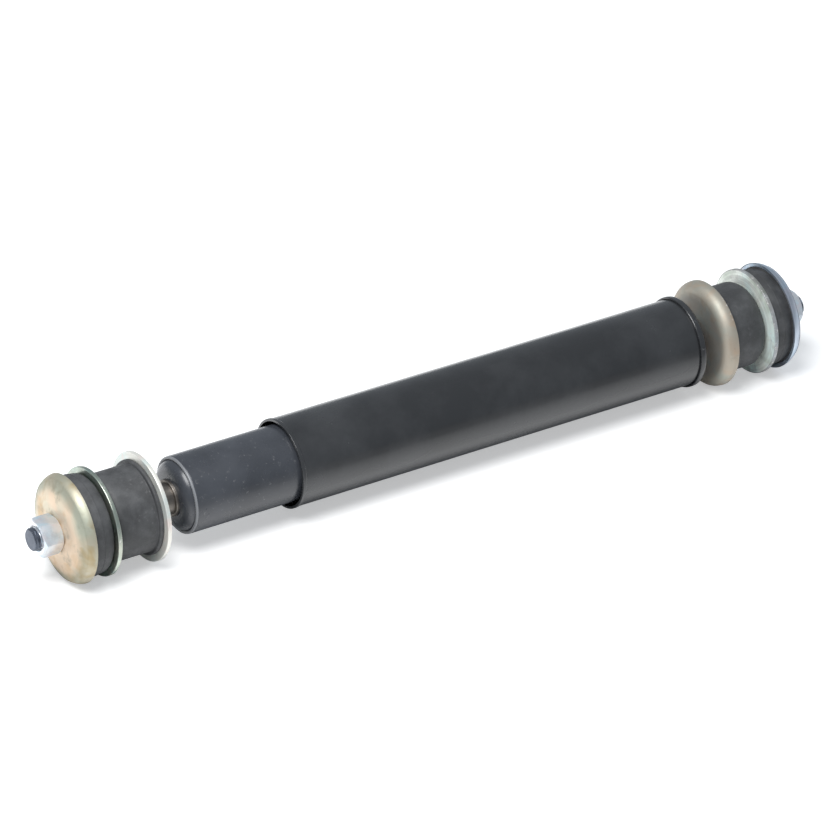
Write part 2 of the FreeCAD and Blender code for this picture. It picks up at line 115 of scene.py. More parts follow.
def angle(name, description, default):
    """Property for an angle, given in degrees."""
    return FloatProperty(name=name, description=description, default=math.radians(default), unit="ROTATION")


def number(name, description, default, **limits):
    """Property for a plain number."""
    return FloatProperty(name=name, description=description, default=default, min=0, **limits)


def colour(name, description, default):
    """Property for a colour."""
    return FloatVectorProperty(
        name=name, description=description, default=default, subtype="COLOR", min=0, max=1)


class DamperSizes(bpy.types.PropertyGroup):
    """Sizes of the modelled pieces that the frame's boxes don't give."""
    around: IntProperty(name="Segments", description="Faces round each turned piece", default=128, min=24)
    arc_steps: IntProperty(name="Arc steps", description="Faces across each rounded edge", default=6, min=1)
    edge: length("Edge break", "Rounding of the metal's cut edges", 0.0006)
    reserve_wall: length("Reserve wall", "Wall of the reserve tube", 0.002)
    reserve_lip: length("Rolled lip", "How far the reserve tube is rolled in over its end plate", 0.004)
    reserve_roll: length("Rolled edge", "Rounding of the reserve tube's rolled end", 0.0026)
    reserve_foot: length("Welded edge", "Rounding of the reserve tube's welded end", 0.0008)
    cap_sheet: length("Base cap sheet", "Thickness of the base cap", 0.0035)
    cap_knuckle: length("Base cap knuckle", "Outer radius of the base cap's edge", 0.008)
    weld_bead: length("Weld bead", "Radius of the weld round the base cap", 0.0012)
    weld_ripples: IntProperty(name="Weld ripples", description="Ripples round the weld", default=90, min=0)
    dust_wall: length("Dust tube wall", "Wall of the dust tube", 0.0012)
    dust_bead: length("Dust tube bead", "Height of the bead at the dust tube's open end", 0.0005)
    dust_bead_length: length("Bead length", "Length of the dust tube's bead", 0.0025)
    dust_bead_round: length("Bead rounding", "Rounding of the dust tube's bead", 0.0004)
    dust_cap_sheet: length("Dust cap sheet", "Thickness of the dust cap", 0.0015)
    dust_cap_bend: length("Dust cap bend", "Outer radius of the dust cap's edge", 0.003)
    dust_cap_edge: length("Dust cap rim", "Rounding of the dust cap's open rim", 0.0012)
    dust_collar: length("Dust cap collar", "Length of the collar drawn round the rod", 0.006)
    cup_sheet: length("Cup sheet", "Thickness of the cup washers", 0.003)
    cup_shoulder: length("Cup shoulder", "Outer radius of the bend round the cup washers' flat back", 0.008)
    cup_flank: length("Cup flank", "Width of the outer cups' sloping flank", 0.009)
    cup_rim: length("Cup rim", "Length of the outer cups' straight rim", 0.0038)
    cup_rim_bend: length("Cup rim bend", "Outer radius of the bend at the outer cups' rim", 0.0045)
    bush_neck: length("Bush neck", "Radius of the long bushes' neck", 0.0305)
    lower_foot: length("Lower foot", "Length of the lower long bush's foot", 0.003)
    upper_foot: length("Upper foot", "Length of the upper long bush's foot, which fills its cup", 0.006)
    foot_round: length("Foot rounding", "Rounding of the long bushes' foot", 0.0014)
    neck_round: length("Neck rounding", "Rounding where the long bushes' neck meets the foot", 0.0008)
    seat_fill: number("Seat fill", "Share of its cup's inner bend that the upper long bush fills", 0.9, max=1)
    bush_end: length("Bush end", "Rounding of the long bushes' outer end", 0.008)
    bush_swell: length("Bush swell", "How far the short bushes swell in the middle", 0.0012)
    bush_round: length("Bush rounding", "Rounding of the rubber's free edges", 0.003)
    parting: length("Parting ridge", "Height of the mould's parting ridge on the rubber", 0.0003)
    stud: length("Stud radius", "Radius of the threaded pins", 0.008)
    stud_chamfer: length("Stud chamfer", "Chamfer on the tip of the pins", 0.001)
    thread_pitch: length("Thread pitch", "Pitch of the pins' thread", 0.002)
    thread_depth: length("Thread depth", "Depth of the pins' thread", 0.0011)
    thread_length: length("Thread length", "Modelled length of thread from the tip of each pin", 0.0125)
    pin_shank: length("Pin shank", "Radius of the lower pin's shank", 0.011)
    pin_foot: length("Pin foot", "Thickness of the lower pin's foot on the base cap", 0.002)
    pin_rivet: length("Pin rivet", "Radius of the lower pin in the base cap", 0.007)
    pin_head: length("Rivet head", "Radius of the lower pin's head inside the base cap", 0.010)
    rod_spigot: length("Rod spigot", "Radius of the rod's end that carries the piston", 0.007)
    pin_centre: length("Pin centre", "Radius of the flat in the middle of the pins' inner ends", 0.002)
    nut_face: number("Nut face", "Radius of the nuts' flat faces as a share of half their width", 0.95, max=1)
    nut_chamfer: angle("Nut chamfer", "Slope of the nuts' turned corners", 30)
    nut_sink: length("Nut countersink", "Width and depth of the countersinks in the nuts' bore", 0.001)
    nut_soft: length("Nut edge", "Rounding of the nuts' edges", 0.0002)
    nut_crease: angle("Nut crease", "Angle past which the nuts have an edge", 24)
    intake_spring_wire: length("Intake spring wire", "Side of the intake spring's square wire", 0.001)
    intake_spring_turns: number("Intake spring turns", "Turns of the intake spring", 2.5)
    check_spring_wire: length("Check spring wire", "Side of the check spring's square wire", 0.0008)
    check_spring_turns: number("Check spring turns", "Turns of the check spring", 1.25)


class DamperFinishes(bpy.types.PropertyGroup):
    """Colours of the finishes."""
    dust_paint: colour("Dust tube paint", "Stove paint of the dust tube and its cap", (0.020, 0.021, 0.023))
    body_paint: colour("Body paint", "Stove paint of the reserve tube and its cap", (0.031, 0.034, 0.041))
    # painted highlight: this light tone on the weld stands for the highlight along the bead
    weld_paint: colour("Weld paint", "Rubbed paint on the weld of the base cap", (0.15, 0.155, 0.165))
    rubbed_paint: colour("Rubbed paint", "Paint where edges are rubbed", (0.16, 0.16, 0.165))
    zinc_gold: colour("Zinc gold", "Plating of the lower outer cup's flank", (0.47, 0.43, 0.33))
    zinc_peach: colour("Zinc peach", "Plating of the lower outer cup's back", (0.76, 0.61, 0.46))
    zinc_bronze: colour("Zinc bronze", "Plating of the upper inner cup's rim", (0.43, 0.385, 0.32))
    # painted shade: the darker middle of the upper inner cup's back stands for the shade that the dust cap
    # casts on it
    zinc_smoke: colour("Zinc smoke", "Plating of the upper inner cup's back", (0.31, 0.29, 0.26))
    zinc_blue: colour("Zinc blue", "Plating of the upper outer cup", (0.50, 0.56, 0.64))
    zinc_pale: colour("Zinc pale", "Plating of the lower pin's shoulder washer", (0.78, 0.77, 0.71))
    zinc_leaf: colour("Leaf zinc", "Plating of the lower flat washer between the bushes", (0.46, 0.51, 0.44))
    zinc_green: colour("Zinc green", "Plating of the upper flat washer", (0.93, 0.98, 0.90))
    # painted shade: the upper flat washer's rim is given a darker tone than its face to stand for the shade
    # on its edge
    zinc_edge: colour("Edge zinc", "Rim of the upper flat washer", (0.36, 0.35, 0.35))
    zinc_bright: colour("Bright zinc", "Plating of the nuts and studs", (0.86, 0.88, 0.91))
    rubbed_zinc: colour("Rubbed zinc", "Plating where edges are rubbed", (0.82, 0.80, 0.76))
    rubber: colour("Rubber", "Rubber of the bushes", (0.042, 0.043, 0.045))
    rubbed_rubber: colour("Rubbed rubber", "Rubber where edges are rubbed", (0.11, 0.11, 0.112))
    stem: colour("Stem", "Phosphated steel of the lower pin", (0.22, 0.20, 0.18))
    cut_steel: colour("Cut steel", "Bare ends of the pins", (0.17, 0.19, 0.23))
    chrome: colour("Rod", "Hard chrome of the rod", (0.78, 0.78, 0.80))


class DamperStage(bpy.types.PropertyGroup):
    """Camera, lamps and floor."""
    azimuth: angle("Azimuth", "Turn of the camera round the object", -32.346)
    elevation: angle("Elevation", "Height of the camera above the horizon", 28.895)
    distance: length("Distance", "From the camera to the point that it aims at", 4.0806)
    aim: FloatVectorProperty(name="Aim", description="Point in the middle of the picture",
                             default=(0.23503, 0, 0.005685), subtype="TRANSLATION")
    focal_pixels: number("Focal length", "Focal length in pixels of the picture", 6000)
    floor: colour("Floor", "Colour of the floor", (0.80, 0.80, 0.80))
    floor_size: length("Floor size", "Side of the floor", 14)
    floor_lift: number("Floor lift", "Light added to the floor as the camera sees it", 0.42)
    mirror_lift: number("Mirror lift", "Share of the floor lift that the pieces mirror", 1.6)
    glow_start: length("Glow start", "How far in front of the axis the mirrored floor starts to darken", 0.06)
    glow_reach: length("Glow reach", "How far in front of the axis the pieces mirror a bright floor", 0.17)
    far_floor: number("Far floor", "Share of the floor's tone that is mirrored past the glow", 0.55, max=1)
    shade_share: number("Shade width", "Half the width of the dark strip underneath over the radius", 0.6)
    shade_fade: length("Shade fade", "Width over which the dark strip underneath fades", 0.015)
    sky: colour("Sky", "Colour of the light from all round", (0.84, 0.92, 1.0))
    sky_strength: number("Sky strength", "Light from all round", 0.42)
    key_power: number("Key power", "Power of the main soft lamp in watts", 42)
    key_size: length("Key size", "Width of the main soft lamp", 1.3)
    key_place: FloatVectorProperty(name="Key place", description="Main soft lamp, from the point aimed at",
                                   default=(-0.75, -0.45, 1.7), subtype="TRANSLATION")


def span(node):
    """Where a round CAD node starts and ends along the axis, and its outer radius."""
    low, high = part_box(node)
    return low.x, high.x, high.z


def body_of(node):
    """Name of the CAD body that carries a node."""
    bodies = frame["record"]["behaviour"]["bodies"]
    return next(body for body, members in bodies.items() if node in members)


def slot_of(node):
    """The record's material slot of a node."""
    return next(s["material_slot"] for s in frame["record"]["subparts"] if s["node"] == node)


def tone_of(name):
    """Colour of a finish."""
    return tuple(getattr(bpy.context.scene.damper_finishes, name))


def start_piece(name):
    """Names the primitive that was just added and puts its place into its mesh."""
    piece = bpy.context.object
    piece.name = name
    piece.data.name = name
    bpy.ops.object.transform_apply()
    return piece


def pick_only(piece):
    """Makes a piece the selected and active one."""
    bpy.ops.object.select_all(action="DESELECT")
    piece.select_set(True)
    bpy.context.view_layer.objects.active = piece


def face_outwards():
    """Turns the faces of the mesh in edit mode outwards, and leaves edit mode."""
    bpy.ops.mesh.select_all(action="SELECT")
    bpy.ops.mesh.normals_make_consistent()
    bpy.ops.object.mode_set(mode="OBJECT")


def select_ring(piece, x, radius):
    """Selects the ring of edges at one place of a turned piece, in edit mode."""
    mesh = bmesh.from_edit_mesh(piece.data)
    for edge in mesh.edges:
        edge.select_set(all(
            abs(v.co.x - x) < SAME and abs(math.hypot(v.co.y, v.co.z) - radius) < SAME for v in edge.verts
        ))
    bmesh.update_edit_mesh(piece.data)


def mark_worn(piece):
    """Notes the selected points, those of a rounded edge, for the finish to wear."""
    mesh = bmesh.from_edit_mesh(piece.data)
    worn = mesh.verts.layers.float.get(WORN) or mesh.verts.layers.float.new(WORN)
    for vert in mesh.verts:
        if vert.select:
            vert[worn] = 1.0
    bmesh.update_edit_mesh(piece.data)


def turn(name, outline):
    """Turned piece: a ring is pulled along an outline of (x, radius) or (x, radius, rounding) corners.
    An outline that ends where it starts makes a ring, and any other gets a flat face at each end."""
    sizes = bpy.context.scene.damper_sizes
    x, radius = outline[0][:2]
    bpy.ops.mesh.primitive_circle_add(
        vertices=sizes.around, radius=radius, location=(x, 0, 0), rotation=ALONG_X)
    piece = start_piece(name)
    bpy.ops.object.mode_set(mode="EDIT")
    bpy.ops.mesh.select_mode(type="EDGE")
    bpy.ops.mesh.select_all(action="SELECT")
    if outline[0][:2] != outline[-1][:2]:
        bpy.ops.mesh.edge_face_add()
    for corner in outline[1:]:
        bpy.ops.mesh.extrude_region_move(TRANSFORM_OT_translate={"value": (corner[0] - x, 0, 0)})
        grow = corner[1] / radius
        x, radius = corner[:2]
        if grow != 1:
            bpy.ops.transform.resize(value=(1, grow, grow), center_override=(x, 0, 0))
    bpy.ops.mesh.select_all(action="SELECT")
    bpy.ops.mesh.remove_doubles(threshold=MERGE)
    for corner in outline:
        if len(corner) > 2:
            select_ring(piece, *corner[:2])
            bpy.ops.mesh.bevel(offset=corner[2], segments=sizes.arc_steps)
            if corner[2] < WORN_UNDER:
                mark_worn(piece)
    face_outwards()
    return piece


def beside(path, distance):
    """A path of (x, radius, bend) corners moved sideways to its right, with the same centres of its bends."""
    points = [Vector(p[:2]) for p in path]
    steps = [(b - a).normalized() for a, b in zip(points, points[1:])]
    moved = []
    for i, point in enumerate(points):
        before = steps[max(i - 1, 0)]
        after = steps[min(i, len(steps) - 1)]
        right = Vector((after.y, -after.x))
        across = (Vector((before.y, -before.x)) + right).normalized()
        corner = point + across * distance / across.dot(right)
        bend = ()
        if len(path[i]) > 2:
            turn_side = before.x * after.y - before.y * after.x
            nearer = math.copysign(1, turn_side) * distance if abs(turn_side) > SAME else 0
            bend = (max(path[i][2] + nearer, TIGHTEST),)
        moved.append((corner.x, corner.y, *bend))
    return moved


def pressed(path, sheet):
    """Closed outline of a pressed sheet: one face follows the path, the other lies to its right."""
    return [*path, *beside(path, sheet)[::-1], path[0][:2]]


def cup_path(node, lip_side):
    """Outside of a cup washer from bore to lip: a full shoulder, or an outer cup's flank and rim."""
    sizes = bpy.context.scene.damper_sizes
    low, high, radius = span(node)
    back, lip = (low, high) if lip_side > 0 else (high, low)
    if "outer" in node:
        sides = [(back, radius - sizes.cup_flank, sizes.cup_shoulder),
                 (lip - lip_side * sizes.cup_rim, radius, sizes.cup_rim_bend)]
    else:
        sides = [(back, radius, sizes.cup_shoulder)]
    return [(back, sizes.stud + CLEAR), *sides, (lip, radius, sizes.edge)]


def dress(piece, material, node=None, body=None, smooth=math.radians(30)):
    """Smooths a finished piece, gives it its material and sets it on its body, in the place of a node."""
    piece.data.materials.clear()
    piece.data.materials.append(material)
    pick_only(piece)
    bpy.ops.object.shade_smooth_by_angle(angle=smooth)
    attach(piece, body or body_of(node))
    if node:
        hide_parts(node)


def apply_modifier(piece, kind, **settings):
    """Makes a modifier part of the mesh of the active piece."""
    modifier = piece.modifiers.new(kind.lower(), kind)
    for key, value in settings.items():
        setattr(modifier, key, value)
    bpy.ops.object.modifier_apply(modifier=modifier.name)


def coat(piece, material, low, high):
    """Gives the faces between two places along the axis another finish."""
    piece.data.materials.append(material)
    for face in piece.data.polygons:
        if low < face.center.x < high:
            face.material_index = len(piece.data.materials) - 1


# Finishes

def shaded(tone, share, lift=0.0):
    """A tone made darker or lighter."""
    return tuple(min(1, c * share + lift) for c in tone)


def tinted(tone, shares):
    """A tone with a share of each of its parts."""
    return tuple(share * c for share, c in zip(shares, tone))


def fill(tree, node, inputs):
    """Sets a node's inputs, each to a value or to the output that feeds it."""
    for key, value in inputs.items():
        if isinstance(value, bpy.types.NodeSocket):
            tree.links.new(value, node.inputs[key])
        else:
            node.inputs[key].default_value = value


def add_node(tree, kind, inputs=None, **settings):
    """New shader node with its settings and inputs."""
    made = tree.nodes.new(kind)
    for key, value in settings.items():
        setattr(made, key, value)
    fill(tree, made, inputs or {})
    return made


def maths(tree, operation, first, second=0.0, clamp=False):
    """Output of one Math node."""
    made = add_node(tree, "ShaderNodeMath", {0: first, 1: second}, operation=operation, use_clamp=clamp)
    return made.outputs[0]


def noise(tree, place, scale, detail, roughness=0.5, distortion=0.0):
    """Output of one Noise Texture node."""
    return add_node(tree, "ShaderNodeTexNoise", {
        "Vector": place, "Scale": scale, "Detail": detail, "Roughness": roughness,
        "Distortion": distortion}).outputs[0]


def blend_colours(tree, share, first, second):
    """Output of one Mix node that goes from the first colour to the second."""
    first, second = ((*c, 1) if isinstance(c, tuple) else c for c in (first, second))
    mix = add_node(tree, "ShaderNodeMix", {"Factor": share, 6: first, 7: second}, data_type="RGBA")
    return mix.outputs[2]


def ramp(tree, share, low, high, start=0.0, end=1.0):
    """Value that goes from start, where the share is low, to end, where it is high."""
    return add_node(tree, "ShaderNodeMapRange", {
        "Value": share, "From Min": low, "From Max": high, "To Min": start, "To Max": end}).outputs[0]


def new_group(name, inputs, outputs):
    """Shader node group with named sockets, its input node and its output node."""
    tree = bpy.data.node_groups.new(name, "ShaderNodeTree")
    for socket, kind, value in inputs:
        made = tree.interface.new_socket(socket, in_out="INPUT", socket_type="NodeSocket" + kind)
        if value is not None:
            made.default_value = value
    for socket, kind in outputs:
        tree.interface.new_socket(socket, in_out="OUTPUT", socket_type="NodeSocket" + kind)
    return tree, tree.nodes.new("NodeGroupInput"), tree.nodes.new("NodeGroupOutput")


def round_axis_group(name):
    """Place on the object as distance along the axis, radius and turn."""
    tree, start, end = new_group(name, [("Place", "Vector", None)], [
        ("Along", "Float"), ("Radius", "Float"), ("Turn", "Float")])
    split = add_node(tree, "ShaderNodeSeparateXYZ", {0: start.outputs["Place"]})
    squares = [maths(tree, "POWER", split.outputs[side], 2.0) for side in "YZ"]
    fill(tree, end, {
        "Along": split.outputs["X"], "Radius": maths(tree, "SQRT", maths(tree, "ADD", *squares)),
        "Turn": maths(tree, "ARCTAN2", split.outputs["Z"], split.outputs["Y"])})
    return tree


def grain_group(name):
    """Uneven surface: broad patches and a fine grain."""
    tree, start, end = new_group(name, [
        ("Place", "Vector", None), ("Patch size", "Float", 0.02), ("Grain size", "Float", 0.001)], [
        ("Patches", "Float"), ("Grain", "Float")])
    for size, output, detail in (("Patch size", "Patches", 5.0), ("Grain size", "Grain", 3.0)):
        scale = maths(tree, "DIVIDE", 1.0, start.outputs[size])
        uneven = noise(tree, start.outputs["Place"], scale, detail, roughness=0.6)
        fill(tree, end, {output: uneven})
    return tree


def edge_wear_group(name):
    """Mask of the worn spots along a piece's rounded edges."""
    tree, start, end = new_group(name, [
        ("Place", "Vector", None), ("Edge", "Float", 0.0), ("Amount", "Float", 0.3)], [("Mask", "Float")])
    chips = noise(tree, start.outputs["Place"], 330.0, 6.0, roughness=0.7)
    level = maths(tree, "SUBTRACT", 0.78, maths(tree, "MULTIPLY", start.outputs["Amount"], 0.5))
    spots = maths(tree, "MULTIPLY", maths(tree, "SUBTRACT", chips, level), 9.0, clamp=True)
    fill(tree, end, {"Mask": maths(tree, "MULTIPLY", spots, start.outputs["Edge"])})
    return tree


def film_group(name):
    """Tones of a passivated zinc film, which shift over the piece in soft clouds."""
    tree, start, end = new_group(name, [
        ("Place", "Vector", None), ("Main", "Color", None), ("Second", "Color", None),
        ("Third", "Color", None), ("Cloud size", "Float", 0.02)], [("Color", "Color")])
    place, main, second, third = (start.outputs[key] for key in ("Place", "Main", "Second", "Third"))
    scale = maths(tree, "DIVIDE", 1.0, start.outputs["Cloud size"])
    clouds = noise(tree, place, scale, 2.0, distortion=0.8)
    finer = noise(tree, place, maths(tree, "MULTIPLY", scale, 1.7), 3.0, distortion=0.4)
    mixed = blend_colours(tree, ramp(tree, clouds, 0.46, 0.66), main, second)
    mixed = blend_colours(tree, ramp(tree, finer, 0.52, 0.72), mixed, third)
    fill(tree, end, {"Color": mixed})
    return tree


GROUPS = {"Round the axis": round_axis_group, "Grain": grain_group, "Edge wear": edge_wear_group,
          "Zinc film": film_group}


def place_group(tree, name, inputs):
    """One use of a node group, which is built for its first use."""
    group = bpy.data.node_groups.get(name) or GROUPS[name](name)
    return add_node(tree, "ShaderNodeGroup", inputs, node_tree=group)


def new_material(name):
    """Empty node material with its Principled shader and its Object coordinates."""
    material = bpy.data.materials.new(name)
    material.use_nodes = True
    tree = material.node_tree
    shader = tree.nodes["Principled BSDF"]
    place = tree.nodes.new("ShaderNodeTexCoord").outputs["Object"]
    return material, tree, shader, place


def surface_grain(tree, place, patch_size, grain_size):
    """Patches and grain of one surface."""
    made = place_group(tree, "Grain", {"Place": place, "Patch size": patch_size, "Grain size": grain_size})
    return made.outputs["Patches"], made.outputs["Grain"]


def worn_mask(tree, place, amount):
    """Worn spots on the marked edges of one surface."""
    edge = add_node(tree, "ShaderNodeAttribute", attribute_name=WORN).outputs["Fac"]
    return place_group(tree, "Edge wear", {"Place": place, "Edge": edge, "Amount": amount}).outputs["Mask"]


def bump(tree, shader, height, strength, depth):
    """Feeds a height to the shader's normal."""
    made = add_node(tree, "ShaderNodeBump", {"Strength": strength, "Distance": depth, "Height": height})
    fill(tree, shader, {"Normal": made.outputs[0]})


def paint(name, tone, gloss):
    """Stove paint: orange peel, a thin film of dust and rubbed edges."""
    if name in bpy.data.materials:
        return bpy.data.materials[name]
    material, tree, shader, place = new_material(name)
    patches, grain = surface_grain(tree, place, patch_size=0.05, grain_size=0.0016)
    worn = worn_mask(tree, place, amount=0.34)
    film = blend_colours(tree, ramp(tree, patches, 0.40, 0.72), tone, shaded(tone, 1.5, lift=0.006))
    fill(tree, shader, {
        "Base Color": blend_colours(tree, worn, film, tone_of("rubbed_paint")),
        "Roughness": ramp(tree, patches, 0.3, 0.75, gloss, gloss + 0.14), "Specular IOR Level": 0.6})
    bump(tree, shader, grain, strength=0.06, depth=0.0004)
    return material


def zinc_film(tree, place, main, cloud_size, stain):
    """Colour of a zinc film round one tone, greener in some clouds and stained in others."""
    return place_group(tree, "Zinc film", {
        "Place": place, "Main": (*main, 1), "Second": (*tinted(main, GREENER), 1),
        "Third": (*tinted(main, stain), 1), "Cloud size": cloud_size}).outputs["Color"]


def plating(name, main, cloud_size, rough, metallic, middle=None, reach=(0.035, 0.030), wander=0.006,
            stain=(1.04, 0.94, 0.94), ring_depth=0.3):
    """Zinc plating: clouds of tone, spun marks from the press and rubbed edges. A second tone can fill
    the middle, from none of it at the first radius of its reach to all of it at the second."""
    if name in bpy.data.materials:
        return bpy.data.materials[name]
    material, tree, shader, place = new_material(name)
    film = zinc_film(tree, place, main, cloud_size, stain)
    axis = place_group(tree, "Round the axis", {"Place": place})
    spun = add_node(tree, "ShaderNodeCombineXYZ", {
        side: maths(tree, "MULTIPLY", axis.outputs[measure], finer)
        for side, (measure, finer) in zip("XYZ", SPUN.items())}).outputs[0]
    marks = noise(tree, spun, 1.0, 2.0)
    rings = noise(tree, spun, 0.16, 2.0)
    patches, grain = surface_grain(tree, place, patch_size=0.012, grain_size=0.0007)
    worn = worn_mask(tree, place, amount=0.42)
    if middle:
        uneven = maths(tree, "MULTIPLY", patches, wander)
        near = ramp(tree, maths(tree, "ADD", axis.outputs["Radius"], uneven), *reach)
        film = blend_colours(tree, near, film, zinc_film(tree, place, middle, cloud_size, stain))
    wiped = maths(tree, "MULTIPLY", ramp(tree, rings, 0.44, 0.68), ring_depth)
    film = blend_colours(tree, wiped, film, shaded(main, 0.74))
    rubbed = blend_colours(tree, worn, film, tone_of("rubbed_zinc"))
    dull = blend_colours(tree, ramp(tree, patches, 0.55, 0.85), rubbed, shaded(main, 0.62))
    fill(tree, shader, {
        "Base Color": dull, "Metallic": metallic,
        "Roughness": ramp(tree, patches, 0.3, 0.8, rough, rough + 0.18)})
    height = maths(tree, "ADD", maths(tree, "MULTIPLY", marks, 0.6), maths(tree, "MULTIPLY", grain, 0.5))
    bump(tree, shader, height, strength=0.12, depth=0.0003)
    return material


def rubber(name, tone):
    """Moulded rubber: matte, with a fine grain, pale bloom in patches and rubbed edges."""
    if name in bpy.data.materials:
        return bpy.data.materials[name]
    material, tree, shader, place = new_material(name)
    patches, grain = surface_grain(tree, place, patch_size=0.014, grain_size=0.0009)
    worn = worn_mask(tree, place, amount=0.4)
    bloom = blend_colours(tree, ramp(tree, patches, 0.42, 0.74), tone, shaded(tone, 1.9, lift=0.008))
    fill(tree, shader, {
        "Base Color": blend_colours(tree, worn, bloom, tone_of("rubbed_rubber")),
        "Roughness": ramp(tree, grain, 0.25, 0.75, 0.48, 0.72)})
    bump(tree, shader, grain, strength=0.22, depth=0.0003)
    return material


def bare_metal(name, tone, rough, grain_size=0.0008, relief=0.15):
    """Machined, sintered or rolled metal with a film of oil: streaked tone and fine tool marks."""
    if name in bpy.data.materials:
        return bpy.data.materials[name]
    material, tree, shader, place = new_material(name)
    patches, grain = surface_grain(tree, place, patch_size=0.011, grain_size=grain_size)
    worn = worn_mask(tree, place, amount=0.45)
    streaks = blend_colours(tree, ramp(tree, patches, 0.38, 0.72), tone, shaded(tone, 0.66))
    rubbed = blend_colours(tree, worn, streaks, shaded(tone, 1.35, lift=0.03))
    fill(tree, shader, {
        "Base Color": rubbed, "Metallic": 1.0,
        "Roughness": ramp(tree, grain, 0.25, 0.75, rough, rough + 0.2)})
    bump(tree, shader, grain, strength=relief, depth=0.0002)
    return material


def body_paint():
    """Paint of the reserve tube, its cap and the rod's neck, where it also stands for painted shade in the
    gap under the dust cap.
    """
    return paint("Body paint", tone_of("body_paint"), gloss=0.20)


def washer_zinc(tone, rough, metallic, middle=None, **film):
    """Plating of the washers, named for its tone."""
    return plating("Washer " + tone, tone_of(tone), cloud_size=0.026, rough=rough, metallic=metallic,
                   middle=middle and tone_of(middle), **film)


def bright_zinc():
    """Plating of the nuts and the studs."""
    return plating("Bright zinc", tone_of("zinc_bright"), cloud_size=0.012, rough=0.30, metallic=0.8)


# Pieces

def thread(piece, tip, inwards):
    """Cuts a thread into the fine rings near the tip of a pin and lets it run out."""
    sizes = bpy.context.scene.damper_sizes
    for vert in piece.data.vertices:
        depth_in = (vert.co.x - tip) * inwards
        radius = math.hypot(vert.co.y, vert.co.z)
        if not SAME < depth_in < sizes.thread_length or abs(radius - sizes.stud) > SAME:
            continue
        turn_share = math.atan2(vert.co.z, vert.co.y) / (2 * math.pi)
        phase = (depth_in / sizes.thread_pitch - turn_share) % 1.0
        groove = min(max((abs(2 * phase - 1) - THREAD_FLAT) / (1 - 2 * THREAD_FLAT), 0), 1)
        run_out = min((sizes.thread_length - depth_in) / sizes.thread_pitch, 1)
        cut = sizes.stud - sizes.thread_depth * groove * run_out
        cone = sizes.stud - sizes.stud_chamfer + depth_in
        shrink = min(cut, cone) / radius
        vert.co.y *= shrink
        vert.co.z *= shrink


def thread_rings(tip, inwards):
    """Corners of the plain rings that a thread is cut into."""
    sizes = bpy.context.scene.damper_sizes
    step = sizes.thread_pitch / THREAD_RINGS
    count = int(sizes.thread_length / step)
    return [(tip + inwards * step * (i + 1), sizes.stud) for i in range(count)]


class DAMPER_OT_body(bpy.types.Operator):
    """Reserve tube, its base cap and the weld between them"""
    bl_idname = "damper.body"
    bl_label = "Body tube and base cap"

    def execute(self, context):
        sizes = context.scene.damper_sizes
        finish = body_paint()
        start, end, radius = span("reserve_tube")
        bore = radius - sizes.reserve_wall
        inside = end - sizes.reserve_wall
        lip = bore - sizes.reserve_lip
        tube = turn("body_tube", [
            (start, bore), (start, radius, sizes.reserve_foot), (end, radius, sizes.reserve_roll),
            (end, lip, sizes.edge), (inside, lip), (inside, bore), (start, bore)])
        dress(tube, finish, "reserve_tube")
        face, skirt_end, skirt = span("base_cap")
        hole = span("lower_stem")[2] / 2
        cap = turn("base_dome", pressed([
            (face, hole), (face, skirt, sizes.cap_knuckle), (skirt_end, skirt)], sizes.cap_sheet))
        dress(cap, finish, "base_cap")
        self.lay_weld(sizes, start, bore)
        return {"FINISHED"}

    def lay_weld(self, sizes, x, bore):
        """Rippled bead where the base cap meets the reserve tube's end."""
        bead = sizes.weld_bead
        ring = bore + bead * 0.6
        ripple_height = bead * 0.12
        bpy.ops.mesh.primitive_torus_add(
            location=(x, 0, 0), rotation=ALONG_X, major_segments=240, minor_segments=10,
            major_radius=ring, minor_radius=bead)
        weld = start_piece("base_weld")
        for vert in weld.data.vertices:
            vert.co.x += ripple_height * math.sin(sizes.weld_ripples * math.atan2(vert.co.z, vert.co.y))
        # the weld's light paint is a painted highlight along the bead
        rubbed = paint("Weld paint", tone_of("weld_paint"), gloss=0.28)
        dress(weld, rubbed, body="cylinder", smooth=math.radians(60))


class DAMPER_OT_cover(bpy.types.Operator):
    """Dust tube with its beaded end, and the dust cap on the rod"""
    bl_idname = "damper.cover"
    bl_label = "Dust tube and dust cap"

    def execute(self, context):
        sizes = context.scene.damper_sizes
        finish = paint("Dust tube paint", tone_of("dust_paint"), gloss=0.16)
        start, end, beaded = span("dust_tube")
        radius = beaded - sizes.dust_bead
        bore = radius - sizes.dust_wall
        bead_end = start + sizes.dust_bead_length
        tube = turn("cover_tube", [
            (start, bore), (start, beaded, sizes.dust_bead_round), (bead_end, beaded, sizes.dust_bead_round),
            (bead_end + sizes.dust_bead, radius), (end, radius), (end, bore), (start, bore)])
        dress(tube, finish, "dust_tube")
        skirt_end, collar_end, skirt = span("dust_cap")
        face = collar_end - sizes.dust_collar
        collar = span("piston_rod")[2] + sizes.dust_cap_sheet + FIT
        cap = turn("cover_cap", pressed([
            (skirt_end, skirt, sizes.dust_cap_edge), (face, skirt, sizes.dust_cap_bend),
            (face, collar, sizes.dust_cap_sheet / 2), (collar_end, collar)], sizes.dust_cap_sheet))
        dress(cap, finish, "dust_cap")
        return {"FINISHED"}


